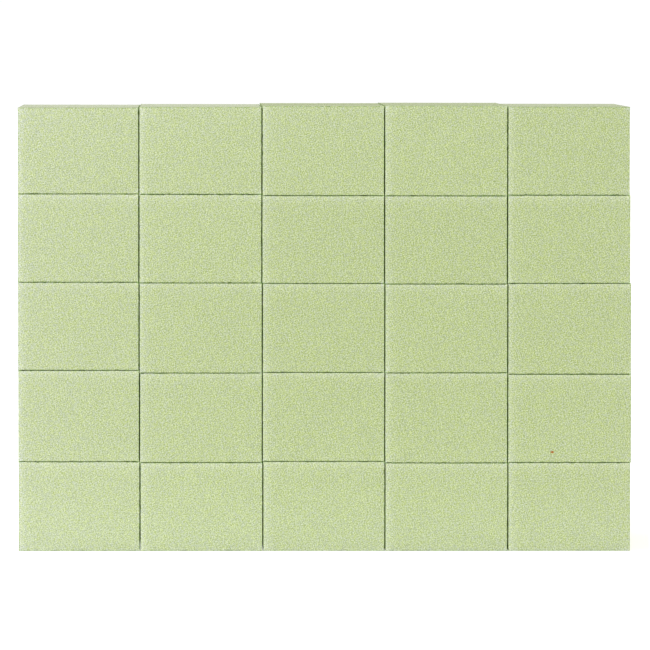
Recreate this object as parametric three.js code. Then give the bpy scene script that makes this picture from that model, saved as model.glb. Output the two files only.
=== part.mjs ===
// A stack of 25 dry floral foam bricks, five columns of five, standing on a bench.
// Millimetres, +Z up. The bricks' ends face -Y, and the origin is at the bottom centre of the stack.
// Each brick is one solid block of foam, cut on all six faces, with its sharp edges worn to a small flat.
import * as THREE from "three";

// Driving dimensions.
const BRICK_WIDTH = 110.6;
const BRICK_HEIGHT = 80;
const BRICK_LENGTH = 230;
const COLUMNS = 5;
const ROWS = 5;
const SIDE_GAP = 0.7; // between two columns, so that a brick lifts out past its neighbours
const STACKED_GAP = 0.3; // between a brick and the one it rests on
const EDGE_WEAR = 1; // leg of the 45 degree flat along every edge

// How far each seam between columns stands off its even spacing, in mm towards +X, row 1 first.
// The first and last lines are the two outer sides. The columns lean a little to the left.
const SEAM_SHIFT = [
  [0, -0.2, -0.4, -0.5, -0.5],
  [-0.7, -1.2, -1.5, -1.7, -1.7],
  [-0.3, -0.8, -0.9, -1.3, -1.3],
  [-0.4, -0.7, -0.8, -1.2, -1.2],
  [0.2, -0.1, -0.2, -0.6, -0.6],
  [0.8, 1.4, 1.2, 0.2, -0.5],
];

// How far each brick's cut height is off BRICK_HEIGHT, in mm: one line for each column, row 1 first.
const HEIGHT_ERROR = [
  [1.3, 2.8, -0.1, -0.2, -1.8],
  [0.4, 1.3, 1.6, 0.3, -0.9],
  [1.5, 0.8, 0.7, -0.6, 1.3],
  [0.1, 1.8, 0.5, -0.1, 1.8],
  [0.5, 0.1, 2.5, -0.1, 0.2],
];

// How far each brick's front end stands proud of the stack's front, in mm: lines and rows as above.
const FRONT_STEP = [
  [0.2, 0.6, 0.0, 0.7, 0.3],
  [0.5, 0.0, 0.8, 0.2, 0.6],
  [0.0, 0.4, 0.3, 0.9, 0.1],
  [0.6, 0.1, 0.7, 0.0, 0.5],
  [0.3, 0.8, 0.1, 0.5, 0.2],
];

const FOAM_COLOUR = 0xc4d39d;

// A block of foam, centred on its own width and length and standing on z = 0.
function brickGeometry(width, height) {
  const halfWidth = width / 2 - EDGE_WEAR;
  const top = height - EDGE_WEAR;
  const wear = EDGE_WEAR * Math.tan(Math.PI / 8); // keeps the flat's legs at EDGE_WEAR once bevelled
  const end = new THREE.Shape();
  end.moveTo(-halfWidth + wear, EDGE_WEAR);
  end.lineTo(halfWidth - wear, EDGE_WEAR);
  end.lineTo(halfWidth, EDGE_WEAR + wear);
  end.lineTo(halfWidth, top - wear);
  end.lineTo(halfWidth - wear, top);
  end.lineTo(-halfWidth + wear, top);
  end.lineTo(-halfWidth, top - wear);
  end.lineTo(-halfWidth, EDGE_WEAR + wear);
  end.closePath();
  const block = new THREE.ExtrudeGeometry(end, {
    depth: BRICK_LENGTH - 2 * EDGE_WEAR,
    bevelEnabled: true,
    bevelThickness: EDGE_WEAR,
    bevelSize: EDGE_WEAR,
    bevelSegments: 1,
  });
  block.rotateX(Math.PI / 2); // the outline's up becomes +Z, and the block runs towards -Y
  block.translate(0, BRICK_LENGTH / 2 - EDGE_WEAR, 0);
  return block;
}

function foamMaterial() {
  return new THREE.MeshStandardMaterial({ color: FOAM_COLOUR, roughness: 0.95, metalness: 0 });
}

// The x of a seam, or of an outer side, in one row.
function seamX(seam, row) {
  const pitch = BRICK_WIDTH + SIDE_GAP;
  return (seam - COLUMNS / 2) * pitch + SEAM_SHIFT[seam][row];
}

// One column's bricks, each resting on the one below.
function buildColumn(column) {
  const group = new THREE.Group();
  let base = 0;
  for (let row = 0; row < ROWS; row += 1) {
    const left = seamX(column, row) + SIDE_GAP / 2;
    const right = seamX(column + 1, row) - SIDE_GAP / 2;
    const height = BRICK_HEIGHT + HEIGHT_ERROR[column][row];
    const brick = new THREE.Mesh(brickGeometry(right - left, height), foamMaterial());
    brick.name = `brick_column${column + 1}_row${row + 1}`;
    brick.position.set((left + right) / 2, -FRONT_STEP[column][row], base);
    group.add(brick);
    base += height + STACKED_GAP;
  }
  return group;
}

// Puts the origin at the bottom centre of the whole stack.
function centreOnOrigin(stack) {
  const middle = new THREE.Box3().setFromObject(stack).getCenter(new THREE.Vector3());
  stack.position.set(-middle.x, -middle.y, 0);
}

const stack = new THREE.Group();
for (let column = 0; column < COLUMNS; column += 1) {
  stack.add(buildColumn(column));
}
centreOnOrigin(stack);

export default stack;
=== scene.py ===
import functools
import itertools
import math

import bpy
import numpy as np
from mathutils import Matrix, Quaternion, Vector


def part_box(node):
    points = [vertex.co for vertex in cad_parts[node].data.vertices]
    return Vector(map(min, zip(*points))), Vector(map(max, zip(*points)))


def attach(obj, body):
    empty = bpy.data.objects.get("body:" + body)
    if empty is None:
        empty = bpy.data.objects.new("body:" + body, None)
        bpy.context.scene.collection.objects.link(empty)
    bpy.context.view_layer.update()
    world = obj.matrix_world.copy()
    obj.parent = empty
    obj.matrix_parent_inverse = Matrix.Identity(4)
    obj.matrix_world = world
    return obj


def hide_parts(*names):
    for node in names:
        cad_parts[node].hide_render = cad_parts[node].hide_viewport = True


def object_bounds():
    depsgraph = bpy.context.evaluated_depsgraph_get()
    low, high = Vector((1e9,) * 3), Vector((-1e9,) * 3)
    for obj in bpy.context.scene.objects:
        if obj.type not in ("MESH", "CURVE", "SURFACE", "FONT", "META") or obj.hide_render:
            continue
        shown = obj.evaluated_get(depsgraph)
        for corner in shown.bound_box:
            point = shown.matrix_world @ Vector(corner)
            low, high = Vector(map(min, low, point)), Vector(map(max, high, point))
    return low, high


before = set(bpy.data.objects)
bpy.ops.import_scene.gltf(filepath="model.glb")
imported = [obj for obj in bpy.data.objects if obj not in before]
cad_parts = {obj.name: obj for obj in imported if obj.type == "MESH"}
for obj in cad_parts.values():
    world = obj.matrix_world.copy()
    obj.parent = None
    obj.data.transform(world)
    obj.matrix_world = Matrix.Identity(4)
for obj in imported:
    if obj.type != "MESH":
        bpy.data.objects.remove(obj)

MM = 0.001
SEED = 25
COLUMNS = 5
ROWS = 5

# The mesh of a brick: narrow cells along every edge, then cells of CELL on its ends and of twice that
# inside its four long faces.
EDGE_CELLS = (0.10, 0.20, 0.35, 0.60, 0.90)
CELL = 1.15

# Its shape. Everything takes foam away, so a brick stays inside its CAD box, but for the burrs: at its
# corners a brick is pressed outwards a little into the joints above and below it. A pair is the size of
# the blobs across and how much they do: to the logarithm of an edge's radius, or as a depth. An edge is
# upright in full once it is well over UPRIGHT_FROM from the brick's top and bottom.
LEVEL_EDGE_RADIUS = 0.11
UPRIGHT_EDGE_RADIUS = 0.12
UPRIGHT_FROM = 0.1
EDGE_RADIUS_RANGE = (0.06, 1.3)
EDGE_VARIES = ((9.0, 0.5), (3.1, 0.9), (1.6, 0.9))
BURR = 0.12
BURR_REACH = 1.5
WAVES = ((34.0, 0.05), (11.0, 0.02))
PITS = ((2.7, 0.08), (1.4, 0.10))
CRUMBLE_SIZE = 2.2
CRUMBLE_POWER = 1.5
LEVEL_CRUMBLE = 1.3
UPRIGHT_CRUMBLE = 0.6
CRUMBLE_REACH = 0.8
ROLL_DEPTH = 0.04
ROLL_REACH = 2.5

# The waves and the crumbled bits take their noise this far from where the edges and the pits take theirs,
# and each brick takes all of it from a place of its own, up to NOISE_SPAN off.
WAVES_APART = 7
CRUMBLE_APART = 31
NOISE_SPAN = 1000

# A point nearer than this to a face lies on it.
ON_FACE = 0.01

# Its cells: the pattern is turned so that no cut lies along it, and the cells are a little taller than
# wide. A second, larger pattern makes some of them warmer and some cooler. Hollow is how far a point is
# from its cell's middle: at HOLLOW_END and beyond it has the second brightness, at the middle the first.
CELLS_PER_MM = 2.2
HUES_PER_MM = 0.75
CELL_TURN = (0.42, 0.61, 0.27)
CELL_STRETCH = (1.0, 1.0, 0.85)
HOLLOW_END = 0.7
HOLLOW_BRIGHT = (1.06, 0.92)

# Its grain is even, without patches: a cell is deeper, by this share, where the foam is pale at two places
# in its face, about 1 mm off. The way to the first is the cross product of the normal and EVEN_WAY, and
# the way to the second is that of the normal and the way to the first.
EVEN_WAY = (0.5, 0.9, 1.0)
EVEN_PLACES = 2
EVEN_SHARE = 0.28

# Its large, faint patches: how many to a millimetre, the part of the noise that is used, and how much
# they change the brightness, which also differs from brick to brick.
PATCHES_PER_MM = 0.05
PATCH_SPREAD = (0.30, 0.70)
PATCH_BRIGHT = (0.99, 1.01)
BRICK_BRIGHT = (0.99, 1.01)
NOISE_DETAIL = 2.0
NOISE_ROUGHNESS = 0.6

# Its dust and painted light, as a share of the colour: dust on all edges, a painted highlight on an end's
# upper and left edges, dust on the corners, and a paler top on each column at the front, in the middle and
# at the back (less on the third and fourth). Then a coat all over: painted light on the left and the right
# of the stack, at its foot and at its head, and dust on its lowest edge. It drifts from place to place
# between the two shares of DRIFT_SHARE.
DUST_AND_HIGHLIGHT_REACH = 3.0
DUST_ON_EDGES = 0.04
PAINTED_HIGHLIGHT_UPPER_LEFT = 0.50
DUST_ON_CORNERS = 0.40
PALE_ON_TOP = (
    (0.58, 0.68, 0.80),
    (0.50, 0.66, 0.80),
    (0.35, 0.00, 0.50),
    (0.32, 0.06, 0.32),
    (0.30, 0.42, 0.38),
)
PAINTED_LIGHT_ON_LEFT = 0.255
PAINTED_LIGHT_ON_RIGHT = 0.06
PAINTED_LIGHT_SIDE_POWER = 3
PAINTED_LIGHT_AT_FOOT = 0.215
PAINTED_LIGHT_AT_HEAD = 0.15
PAINTED_LIGHT_HEAD_POWER = 0.5
PAINTED_LIGHT_ROW_REACH = 70.0
DUST_ON_RIM = 0.25
DUST_RIM_REACH = 1.5
DRIFTS_PER_MM = 0.22
DRIFT_SPREAD = (0.25, 0.75)
DRIFT_SHARE = (0.85, 1.15)

# How far in from its open edges a face that is against a neighbour takes on the deeper, greener colour of
# the painted seam shade, and how far down from the top of the stack.
HIDDEN_REACH = 0.5
HIDDEN_TOP_REACH = 4.0

# The painted shade along its edges, broken up cell by cell: how far in it reaches, how many cells to a
# millimetre, the part of their random values that is used, and how deeply the least and most shaded are
# coloured.
EDGE_SHADE_REACH = 0.36
EDGE_SHADE_CELLS_PER_MM = 0.9
EDGE_SHADE_SPREAD = (0.40, 0.70)
EDGE_SHADE_SHARE = (0.1, 1.0)

# A speck of rust near the foot of one brick's end: its share of the way across, its height, the radius
# where it ends and the share of that within which it is solid. It is wider than it is high.
RUST_NODE = "brick_column5_row2"
RUST_ACROSS = 0.36
RUST_HEIGHT = 9.4
RUST_RADIUS = 1.3
RUST_SOLID = 0.5
RUST_SHAPE = (0.65, 1.0, 1.0)

# The colours of its cells, of its dust and painted light, and of the rust.
DEEP_FOAM = (0.290, 0.382, 0.086, 1)
PALE_FOAM = (0.700, 0.780, 0.507, 1)
DEEP_DUST_AND_PAINTED_LIGHT = (0.54, 0.61, 0.34, 1)
PALE_DUST_AND_PAINTED_LIGHT = (0.94, 0.99, 0.90, 1)
RUST = (0.40, 0.13, 0.02, 1)

# What those colours are multiplied by: in warm and cool cells, in painted seam shade on hidden faces and
# along edges.
NO_CHANGE = (1, 1, 1, 1)
WARM_FOAM = (1.035, 1.042, 0.867, 1)
COOL_FOAM = (0.965, 0.958, 1.133, 1)
HIDDEN_SHADE_FOAM = (0.96, 1.01, 0.82, 1)
EDGE_SHADE_FOAM = (0.22, 0.56, 0.0, 1)

# Its surface. The pairs are for the deepest and the palest cells, or for open and hidden faces.
ROUGHNESS = (0.99, 0.9)
SPECULAR = (0.2, 0.0)
SHEEN = (0.12, 0.0)
SHEEN_ROUGHNESS = 0.6
BUMP_STRENGTH = 0.35
BUMP_DEPTH = 0.25

# The camera, from the front: where it stands, what it looks at, its lens, and its roll in degrees.
CAMERA_PLACE = (-126.0, -6095.5, 480.0)
CAMERA_TARGET = (0.0, 205.95)
CAMERA_ROLL = 0.069
LENS = 364.9
SENSOR = 36.0

# The studio. The world and the table are brighter to the camera than as lights. The key light is far off
# to the left and grazes the front, a fill light stands before the stack, and a white card lies at its
# foot. Distances, sizes and TABLE_REACH are in metres, power is in watts.
WORLD_LIGHT = 0.80
WORLD_COLOUR = (1.0, 0.98, 0.92, 1)
BACKDROP = 1.03
TABLE_COLOUR = (0.92, 0.92, 0.92, 1)
TABLE_GLOW = 0.46
TABLE_REACH = 30.0
KEY_WAY = (-0.84, -0.45, 0.30)
KEY_DISTANCE = 9.0
KEY_SIZE = 4.8
KEY_POWER = 300.0
KEY_COLOUR = (0.90, 0.97, 1.12)
FILL_WAY = (0.0, -1.0, 0.15)
FILL_DISTANCE = 5.0
FILL_SIZE = 1.5
FILL_POWER = 31.0
FILL_COLOUR = (1, 1, 1)
CARD_SIZE = (0.62, 0.15)
CARD_GAP = 0.01
CARD_HEIGHT = 0.002
CARD_POWER = 0.05
CARD_COLOUR = (1, 1, 1)

cad_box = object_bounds()


def node_name(column, row):
    return f"brick_column{column + 1}_row{row + 1}"


class SmoothNoise:
    """Smooth random values in space, from -1 to 1. The pattern repeats after PERIOD lattice steps."""

    PERIOD = 64

    def __init__(self, rng):
        self.lattice = rng.uniform(-1, 1, (self.PERIOD,) * 3)

    def at(self, points, size):
        """The values at points, for blobs about size across."""
        scaled = points / size
        base = np.floor(scaled).astype(int)
        part = scaled - base
        part = part * part * (3 - 2 * part)
        total = np.zeros(len(points))
        for corner in itertools.product((0, 1), repeat=3):
            weight = np.prod(np.where(corner, part, 1 - part), axis=1)
            x, y, z = ((base + corner) % self.PERIOD).T
            total += weight * self.lattice[x, y, z]
        return total


def grid_lines(length):
    """Where the mesh lines cross one side of a box, from 0 to length."""
    border = np.concatenate([[0], np.cumsum(EDGE_CELLS)])
    middle = length - 2 * border[-1]
    cells = 2 * round(middle / CELL / 2)
    inner = border[-1] + middle * np.arange(1, cells) / cells
    return np.concatenate([border, inner, (length - border)[::-1]])


def face_polygons(across, up, fine):
    """One face's polygons, anticlockwise, as lists of (across, up) line numbers. Unless fine, the cells
    inside the border are doubled, and those that touch it take in its extra points."""
    border = len(EDGE_CELLS)
    step = 1 if fine else 2
    last_across, last_up = across - 1 - border, up - 1 - border
    polygons = []
    for i, j in itertools.product(range(across - 1), range(up - 1)):
        if not (border <= i < last_across and border <= j < last_up):
            polygons.append([(i, j), (i + 1, j), (i + 1, j + 1), (i, j + 1)])
    for i in range(border, last_across, step):
        for j in range(border, last_up, step):
            corners = [(i, j), (i + step, j), (i + step, j + step), (i, j + step)]
            if not fine and j == border:
                corners.insert(1, (i + 1, j))
            if not fine and i + step == last_across:
                corners.insert(corners.index((i + step, j)) + 1, (i + step, j + 1))
            if not fine and j + step == last_up:
                corners.insert(corners.index((i + step, j + step)) + 1, (i + 1, j + step))
            if not fine and i == border:
                corners.append((i, j + 1))
            polygons.append(corners)
    return polygons


@functools.cache
def box_surface(counts):
    """The surface of a box of counts mesh lines: its points as three line numbers each, its polygons."""
    numbers = {}
    polygons = []
    for axis in range(3):
        first, second = (axis + 1) % 3, (axis + 2) % 3
        flat = face_polygons(counts[first], counts[second], fine=axis == 1)
        for level in (0, counts[axis] - 1):
            for corners in flat:
                polygon = []
                for i, j in corners if level else reversed(corners):
                    point = [0, 0, 0]
                    point[axis], point[first], point[second] = level, i, j
                    polygon.append(numbers.setdefault(tuple(point), len(numbers)))
                polygons.append(polygon)
    return np.array(list(numbers)), polygons


def worn_box(points, half, noise, place, joints):
    """Moves the points of a box of half sizes half, centred on 0, to the surface of a worn foam brick.
    Returns them, and how far each was from the nearest face across each axis. The joints tell whether
    there is a brick below and above."""
    seen = points + place
    to_face = half - np.abs(points)
    inside = np.sort(to_face, axis=1)
    edge_distance, corner_distance = inside[:, 1], inside[:, 2]
    corner = np.exp(-((corner_distance / BURR_REACH) ** 2))
    upright = to_face[:, 2] / (to_face[:, 0] + to_face[:, 2] + UPRIGHT_FROM)
    radius = LEVEL_EDGE_RADIUS + (UPRIGHT_EDGE_RADIUS - LEVEL_EDGE_RADIUS) * upright
    radius *= np.exp(sum(size * noise.at(seen, reach) for reach, size in EDGE_VARIES))
    radius = np.clip(radius * (1 - corner), *EDGE_RADIUS_RANGE)[:, None]
    core = np.clip(points, radius - half, half - radius)
    outward = points - core
    outward /= np.linalg.norm(outward, axis=1)[:, None]
    worn = core + radius * outward
    depth = sum(size * (1 + noise.at(seen + WAVES_APART, reach)) for reach, size in WAVES)
    depth += sum(size * np.maximum(noise.at(seen, reach), 0) for reach, size in PITS)
    crumble = LEVEL_CRUMBLE + (UPRIGHT_CRUMBLE - LEVEL_CRUMBLE) * upright
    crumble *= np.maximum(noise.at(seen + CRUMBLE_APART, CRUMBLE_SIZE), 0) ** CRUMBLE_POWER
    roll = ROLL_DEPTH * np.exp(-edge_distance / ROLL_REACH)
    depth += crumble * np.exp(-edge_distance / CRUMBLE_REACH) + roll
    worn -= (depth * (1 - corner))[:, None] * outward
    burr = BURR * corner * np.exp(-to_face[:, 2] / BURR_REACH)
    worn[:, 2] += burr * np.where(points[:, 2] > 0, joints[1], -joints[0])
    return worn, to_face


def mesh_object(name, points, polygons, material):
    """A smooth-shaded object. Its points come in millimetres."""
    mesh = bpy.data.meshes.new(name)
    mesh.from_pydata((np.asarray(points) * MM).tolist(), [], polygons)
    mesh.polygons.foreach_set("use_smooth", np.ones(len(mesh.polygons), bool))
    mesh.materials.append(material)
    mesh.update()
    made = bpy.data.objects.new(name, mesh)
    bpy.context.scene.collection.objects.link(made)
    return made


def add_attribute(piece, name, values):
    """Gives a piece a value at each point, which its material reads by this name."""
    attribute = piece.data.attributes.new(name, "FLOAT", "POINT")
    attribute.data.foreach_set("value", values.astype(np.float32))


def painted_light_and_dust_coat(x, z):
    """Painted light over the whole stack: paler towards its left and a little towards its right, at its
    foot, lit from the table, and at its head, lit from above; and dust along its lowest edge.
    """
    low, high = cad_box
    left_share = (high.x / MM - x) / ((high.x - low.x) / MM)
    right_share = 1 - left_share
    sides = PAINTED_LIGHT_ON_LEFT * left_share**PAINTED_LIGHT_SIDE_POWER + PAINTED_LIGHT_ON_RIGHT * right_share**PAINTED_LIGHT_SIDE_POWER
    foot = PAINTED_LIGHT_AT_FOOT * np.exp(-z / PAINTED_LIGHT_ROW_REACH) + DUST_ON_RIM * np.exp(-z / DUST_RIM_REACH)
    head = PAINTED_LIGHT_AT_HEAD * left_share**PAINTED_LIGHT_HEAD_POWER * np.exp((z - high.z / MM) / PAINTED_LIGHT_ROW_REACH)
    return 1 - (1 - sides) * (1 - foot) * (1 - head)


def hidden_share(points, half, to_face, column, row):
    """1 on the faces of a brick that are against a neighbour or the table, 0 on its open faces. Also that
    share as it rises from the open edges inwards, and down from the top of the stack."""
    hidden = np.zeros(len(points))
    sides = ((0, -1, column > 0), (0, 1, column < COLUMNS - 1), (2, -1, True), (2, 1, row < ROWS - 1))
    for axis, way, closed in sides:
        on_face = (to_face[:, axis] < ON_FACE) & (points[:, axis] * way > 0)
        hidden[on_face & closed] = 1
    deep = hidden * (1 - np.exp(-to_face[:, 1] / HIDDEN_REACH))
    if row == ROWS - 1:
        deep *= 1 - np.exp((points[:, 2] - half[2]) / HIDDEN_TOP_REACH)
    return hidden, deep


def build_brick(column, row, noise, rng, material):
    """One brick, over its CAD node."""
    node = node_name(column, row)
    low, high = (np.array(corner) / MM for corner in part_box(node))
    half = (high - low) / 2
    middle = (high + low) / 2
    lines = [grid_lines(side) for side in 2 * half]
    numbers, polygons = box_surface(tuple(len(line) for line in lines))
    points = np.stack([lines[axis][numbers[:, axis]] - half[axis] for axis in range(3)], axis=1)
    place = middle + rng.uniform(0, NOISE_SPAN, 3)
    worn, to_face = worn_box(points, half, noise, place, (row > 0, row < ROWS - 1))
    brick = mesh_object("foam_" + node, worn + middle, polygons, material)
    _, edge_distance, corner_distance = np.sort(to_face, axis=1).T
    hidden, deep = hidden_share(points, half, to_face, column, row)
    dust_and_painted_light = DUST_ON_EDGES * np.exp(-edge_distance / DUST_AND_HIGHLIGHT_REACH)
    # A painted highlight on the upper and left edges of each end, where the light from the upper left falls.
    upper_left = half[0] + points[:, 0]
    if row < ROWS - 1:
        upper_left = np.minimum(upper_left, half[2] - points[:, 2])
    dust_and_painted_light += PAINTED_HIGHLIGHT_UPPER_LEFT * (to_face[:, 1] < ON_FACE) * np.exp(-upper_left / DUST_AND_HIGHLIGHT_REACH)
    dust_and_painted_light += DUST_ON_CORNERS * np.exp(-corner_distance / DUST_AND_HIGHLIGHT_REACH)
    # Painted light over the whole stack, paler to the left, at the foot and at the head, and dust on the
    # lowest edge.
    dust_and_painted_light += painted_light_and_dust_coat(points[:, 0] + middle[0], points[:, 2] + middle[2])
    # The top faces of the top row are paler by a share of their own for each column, from front to back.
    if row == ROWS - 1:
        on_top = (to_face[:, 2] < ON_FACE) & (points[:, 2] > 0)
        across_top = np.interp(points[:, 1], (-half[1], 0, half[1]), PALE_ON_TOP[column])
        dust_and_painted_light = np.where(on_top, across_top, dust_and_painted_light)
    # Painted shade along every edge, which darkens the seams between bricks.
    edge_shade = np.exp(-edge_distance / EDGE_SHADE_REACH)
    dust_and_painted_light *= (1 - hidden) * (1 - edge_shade)
    add_attribute(brick, "hidden", deep)
    add_attribute(brick, "edge_shade", edge_shade)
    add_attribute(brick, "dust_and_painted_light", dust_and_painted_light)
    add_attribute(brick, "tint", np.full(len(worn), rng.uniform(-1, 1)))
    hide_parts(node)
    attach(brick, node)
    return brick


def add_node(tree, kind, inputs=None, **settings):
    """Adds a node. An input is a value or another node's output, under the input's name or number."""
    node = tree.nodes.new(kind)
    for name, value in settings.items():
        setattr(node, name, value)
    for name, value in (inputs or {}).items():
        if isinstance(value, bpy.types.NodeSocket):
            tree.links.new(value, node.inputs[name])
        else:
            node.inputs[name].default_value = value
    return node


def new_material(name):
    """A material with an empty node tree but for its output. Returns it, its tree and the output."""
    material = bpy.data.materials.new(name)
    material.use_nodes = True
    tree = material.node_tree
    tree.nodes.clear()
    return material, tree, tree.nodes.new("ShaderNodeOutputMaterial")


def mix_colour(tree, factor, first, second):
    """The first colour where factor is 0, the second where it is 1."""
    node = add_node(tree, "ShaderNodeMix", {0: factor, 6: first, 7: second}, data_type="RGBA")
    return node.outputs[2]


def noise_value(tree, place, per_mm, used):
    """A noise of blobs about 1 / per_mm across, spread so that the part used becomes 0 to 1."""
    inputs = {"Vector": place, "Scale": per_mm, "Detail": NOISE_DETAIL, "Roughness": NOISE_ROUGHNESS}
    noise = add_node(tree, "ShaderNodeTexNoise", inputs)
    return spread(tree, noise.outputs["Fac"], *used)


def spread(tree, value, low, high, to_low=0.0, to_high=1.0):
    """The value with low to high turned into to_low to to_high, and no further."""
    inputs = {"Value": value, "From Min": low, "From Max": high, "To Min": to_low, "To Max": to_high}
    return add_node(tree, "ShaderNodeMapRange", inputs).outputs["Result"]


def multiply(tree, first, second):
    return add_node(tree, "ShaderNodeMath", {0: first, 1: second}, operation="MULTIPLY").outputs[0]


def scale_colour(tree, colour, factor):
    inputs = {0: colour, "Scale": factor}
    return add_node(tree, "ShaderNodeVectorMath", inputs, operation="SCALE").outputs["Vector"]


def multiply_colours(tree, first, second):
    inputs = {0: first, 1: second}
    return add_node(tree, "ShaderNodeVectorMath", inputs, operation="MULTIPLY").outputs["Vector"]


def random_cells(tree, place, per_mm):
    """Cells about 1 / per_mm across. Returns a random value for each, and the distance to its middle."""
    cells = add_node(tree, "ShaderNodeTexVoronoi", {"Vector": place, "Scale": per_mm})
    parts = add_node(tree, "ShaderNodeSeparateColor", {"Color": cells.outputs["Color"]})
    return parts.outputs["Red"], cells.outputs["Distance"]


def turn_place(tree, place):
    """The place as the cells see it, turned and stretched."""
    inputs = {"Vector": place, "Rotation": CELL_TURN, "Scale": CELL_STRETCH}
    return add_node(tree, "ShaderNodeMapping", inputs).outputs["Vector"]


def even_cells(tree, place):
    """The foam's own cells. Returns a value for each, from 0 to 1, and the distance to its middle."""
    grain, hollow = random_cells(tree, turn_place(tree, place), CELLS_PER_MM)
    normal = add_node(tree, "ShaderNodeNewGeometry").outputs["Normal"]
    offset = EVEN_WAY
    for _ in range(EVEN_PLACES):
        inputs = {0: normal, 1: offset}
        cross = add_node(tree, "ShaderNodeVectorMath", inputs, operation="CROSS_PRODUCT")
        offset = cross.outputs["Vector"]
        moved = add_node(tree, "ShaderNodeVectorMath", {0: place, 1: offset}, operation="ADD")
        other, _ = random_cells(tree, turn_place(tree, moved.outputs["Vector"]), CELLS_PER_MM)
        inputs = {0: grain, 1: multiply(tree, other, EVEN_SHARE)}
        grain = add_node(tree, "ShaderNodeMath", inputs, operation="SUBTRACT").outputs[0]
    return spread(tree, grain, -EVEN_SHARE, 1 - EVEN_SHARE), hollow


def rust_speck(tree, place):
    """1 inside the speck of rust, 0 outside."""
    low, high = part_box(RUST_NODE)
    middle = (low.x + RUST_ACROSS * (high.x - low.x), low.y, low.z + RUST_HEIGHT * MM)
    inputs = {0: place, 1: Vector(middle) / MM}
    away = add_node(tree, "ShaderNodeVectorMath", inputs, operation="SUBTRACT").outputs["Vector"]
    away = multiply_colours(tree, away, RUST_SHAPE)
    distance = add_node(tree, "ShaderNodeVectorMath", {0: away}, operation="LENGTH").outputs["Value"]
    return spread(tree, distance, RUST_SOLID * RUST_RADIUS, RUST_RADIUS, 1.0, 0.0)


def attribute(tree, name):
    return add_node(tree, "ShaderNodeAttribute", attribute_name=name).outputs["Fac"]


def foam_colour(tree, place, grain, hollow, rust, hidden):
    """The colour of the foam: its cells, the dust and painted light on them, the painted shade on hidden
    faces and along the edges, and the rust.
    """
    drift = spread(tree, noise_value(tree, place, DRIFTS_PER_MM, DRIFT_SPREAD), 0.0, 1.0, *DRIFT_SHARE)
    dust_and_painted_light = multiply(tree, attribute(tree, "dust_and_painted_light"), drift)
    colour = mix_colour(tree, grain, DEEP_FOAM, PALE_FOAM)
    colour = mix_colour(tree, dust_and_painted_light, colour, mix_colour(tree, grain, DEEP_DUST_AND_PAINTED_LIGHT, PALE_DUST_AND_PAINTED_LIGHT))

    hue, _ = random_cells(tree, place, HUES_PER_MM)
    colour = multiply_colours(tree, colour, mix_colour(tree, hue, WARM_FOAM, COOL_FOAM))
    # Painted shade in the seams: faces against a neighbour take a deeper, greener colour.
    colour = multiply_colours(tree, colour, mix_colour(tree, hidden, NO_CHANGE, HIDDEN_SHADE_FOAM))
    # Painted shade along the edges, darker and greener in some cells than in others.
    shade_cell, _ = random_cells(tree, place, EDGE_SHADE_CELLS_PER_MM)
    edge_shade = multiply(tree, attribute(tree, "edge_shade"), spread(tree, shade_cell, *EDGE_SHADE_SPREAD, *EDGE_SHADE_SHARE))
    colour = multiply_colours(tree, colour, mix_colour(tree, edge_shade, NO_CHANGE, EDGE_SHADE_FOAM))

    patch = noise_value(tree, place, PATCHES_PER_MM, PATCH_SPREAD)
    bright = spread(tree, attribute(tree, "tint"), -1.0, 1.0, *BRICK_BRIGHT)
    bright = multiply(tree, bright, spread(tree, patch, 0.0, 1.0, *PATCH_BRIGHT))
    bright = multiply(tree, bright, spread(tree, hollow, 0.0, HOLLOW_END, *HOLLOW_BRIGHT))
    return mix_colour(tree, rust, scale_colour(tree, colour, bright), RUST)


def foam_material():
    """Dry phenolic foam: fine open cells, some pale and some deep, under a thin coat of pale dust and
    painted light.
    """
    material, tree, output = new_material("dry_floral_foam")
    place = add_node(tree, "ShaderNodeTexCoord").outputs["Object"]
    place = scale_colour(tree, place, 1 / MM)
    rust = rust_speck(tree, place)
    grain, hollow = even_cells(tree, place)
    hidden = attribute(tree, "hidden")
    height = add_node(tree, "ShaderNodeMath", {0: grain, 1: hollow}, operation="ADD").outputs[0]
    inputs = {"Strength": BUMP_STRENGTH, "Distance": BUMP_DEPTH * MM, "Height": height}
    bump = add_node(tree, "ShaderNodeBump", inputs)
    shader = add_node(tree, "ShaderNodeBsdfPrincipled", {
        "Base Color": foam_colour(tree, turn_place(tree, place), grain, hollow, rust, hidden),
        "Roughness": spread(tree, grain, 0.0, 1.0, *ROUGHNESS),
        "Specular IOR Level": spread(tree, hidden, 0.0, 1.0, *SPECULAR),
        "Sheen Weight": spread(tree, hidden, 0.0, 1.0, *SHEEN),
        "Sheen Roughness": SHEEN_ROUGHNESS,
        "Normal": bump.outputs["Normal"],
    })
    tree.links.new(shader.outputs["BSDF"], output.inputs["Surface"])
    return material


def build_floor():
    """A plain white table top, far larger than the view, which the camera sees a little overexposed."""
    material, tree, output = new_material("white_table")
    diffuse = add_node(tree, "ShaderNodeBsdfDiffuse", {"Color": TABLE_COLOUR})
    seen = add_node(tree, "ShaderNodeLightPath").outputs["Is Camera Ray"]
    glow = add_node(tree, "ShaderNodeEmission", {"Strength": multiply(tree, seen, TABLE_GLOW)})
    both = add_node(tree, "ShaderNodeAddShader", {0: diffuse.outputs[0], 1: glow.outputs[0]})
    tree.links.new(both.outputs[0], output.inputs["Surface"])
    reach = TABLE_REACH / MM
    corners = [(-reach, -reach, 0), (reach, -reach, 0), (reach, reach, 0), (-reach, reach, 0)]
    mesh_object("floor", corners, [(0, 1, 2, 3)], material)


def aim(piece, target):
    """Turns a light or the camera so that it looks at the target."""
    away = piece.location - Vector(target)
    piece.rotation_mode = "QUATERNION"
    piece.rotation_quaternion = away.to_track_quat("Z", "Y")


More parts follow.
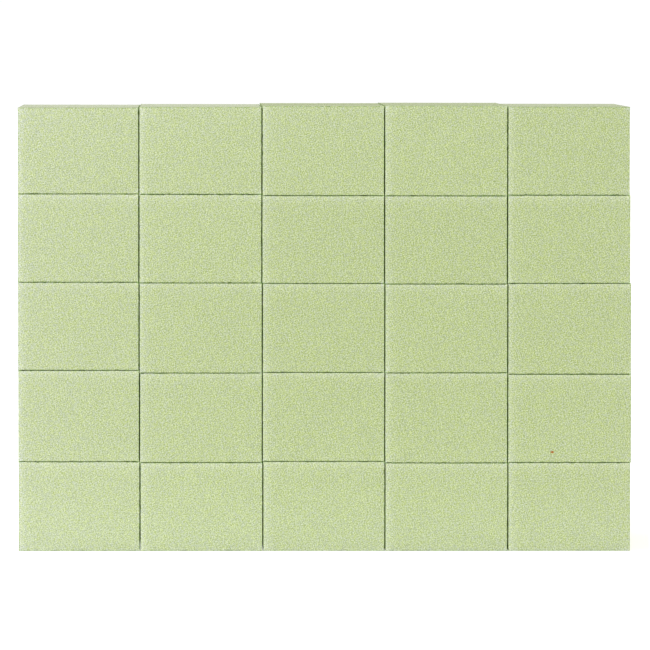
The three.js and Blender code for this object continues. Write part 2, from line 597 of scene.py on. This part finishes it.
def build_camera():
    """The camera, far off before the stack, with a long lens."""
    low, high = cad_box
    data = bpy.data.cameras.new("camera")
    data.lens = LENS
    data.sensor_width = SENSOR
    camera = bpy.data.objects.new("camera", data)
    camera.location = Vector(CAMERA_PLACE) * MM
    aim(camera, (CAMERA_TARGET[0] * MM, low.y, CAMERA_TARGET[1] * MM))
    camera.rotation_quaternion @= Quaternion((0, 0, 1), math.radians(CAMERA_ROLL))
    bpy.context.scene.collection.objects.link(camera)
    bpy.context.scene.camera = camera


def area_light(name, place, target, size, power, colour):
    """A soft light that the camera doesn't see. A pair of sizes makes it a rectangle, one makes it round."""
    data = bpy.data.lights.new(name, "AREA")
    if isinstance(size, tuple):
        data.shape = "RECTANGLE"
        data.size, data.size_y = size
    else:
        data.shape = "DISK"
        data.size = size
    data.energy = power
    data.color = colour
    light = bpy.data.objects.new(name, data)
    light.location = place
    light.visible_camera = False
    aim(light, target)
    bpy.context.scene.collection.objects.link(light)


def build_world():
    """White all round: a backdrop to the camera, and a dimmer, slightly warm light on everything else."""
    world = bpy.data.worlds.new("white_studio")
    world.use_nodes = True
    tree = world.node_tree
    tree.nodes.clear()
    light = add_node(tree, "ShaderNodeBackground", {"Color": WORLD_COLOUR, "Strength": WORLD_LIGHT})
    backdrop = add_node(tree, "ShaderNodeBackground", {"Color": (1, 1, 1, 1), "Strength": BACKDROP})
    seen = add_node(tree, "ShaderNodeLightPath").outputs["Is Camera Ray"]
    both = add_node(tree, "ShaderNodeMixShader", {0: seen, 1: light.outputs[0], 2: backdrop.outputs[0]})
    output = tree.nodes.new("ShaderNodeOutputWorld")
    tree.links.new(both.outputs[0], output.inputs["Surface"])
    bpy.context.scene.world = world


def build_lights():
    """The world, the key light, the fill light, and the card on the table."""
    build_world()
    centre = (cad_box[0] + cad_box[1]) / 2
    place = centre + KEY_DISTANCE * Vector(KEY_WAY)
    area_light("key", place, centre, KEY_SIZE, KEY_POWER, KEY_COLOUR)
    place = centre + FILL_DISTANCE * Vector(FILL_WAY)
    area_light("fill", place, centre, FILL_SIZE, FILL_POWER, FILL_COLOUR)
    place = Vector((0, cad_box[0].y - CARD_GAP - CARD_SIZE[1] / 2, CARD_HEIGHT))
    area_light("card", place, place + Vector((0, 0, 1)), CARD_SIZE, CARD_POWER, CARD_COLOUR)
    settings = bpy.context.scene.view_settings
    settings.view_transform = "Standard"
    settings.look = "None"


def build_stack():
    """All the bricks, column by column from the left and each from its foot up."""
    rng = np.random.default_rng(SEED)
    noise = SmoothNoise(rng)
    foam = foam_material()
    for column, row in itertools.product(range(COLUMNS), range(ROWS)):
        build_brick(column, row, noise, rng, foam)


build_camera()
build_lights()
build_floor()
build_stack()
